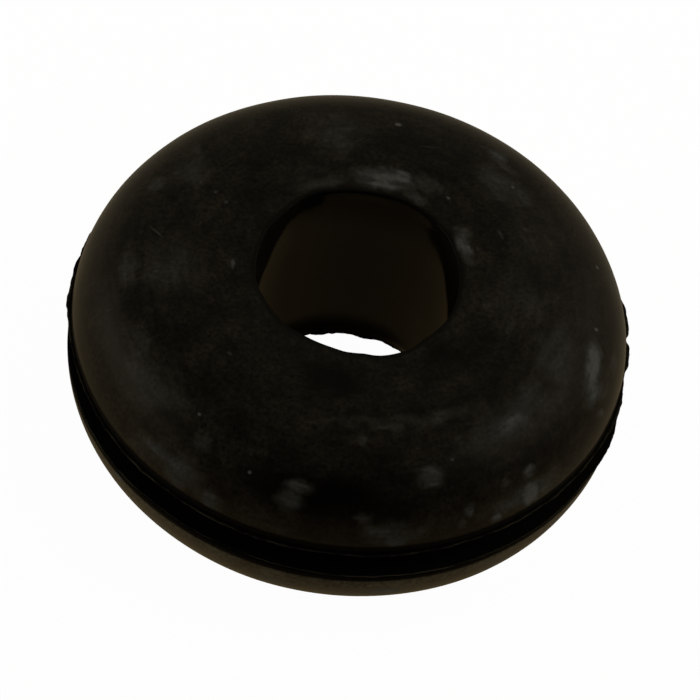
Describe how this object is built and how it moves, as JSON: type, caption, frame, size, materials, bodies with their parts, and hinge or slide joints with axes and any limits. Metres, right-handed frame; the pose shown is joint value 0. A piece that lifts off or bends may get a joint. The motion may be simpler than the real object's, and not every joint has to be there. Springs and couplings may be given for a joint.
{
  "type": "rubber grommet",
  "caption": "Fat round rubber grommet with domed flanges, a narrow groove that seats on the edge of a panel hole, and a straight bore for a cable or tube.",
  "frame": {"origin": "on the bore's axis, halfway up the panel groove, which is the middle of the object", "axes": "+Z along the bore, from the flange that the grommet stands on to the other one; X and Y lie in the groove's plane, and every direction in it is alike"},
  "size_m": [0.0288, 0.0288, 0.012],
  "materials": {
    "moulded_rubber": "semi-matt moulded black rubber with a faint pale bloom"
  },
  "bodies": {
    "root": {"grommet": "moulded_rubber"}
  },
  "joints": []
}
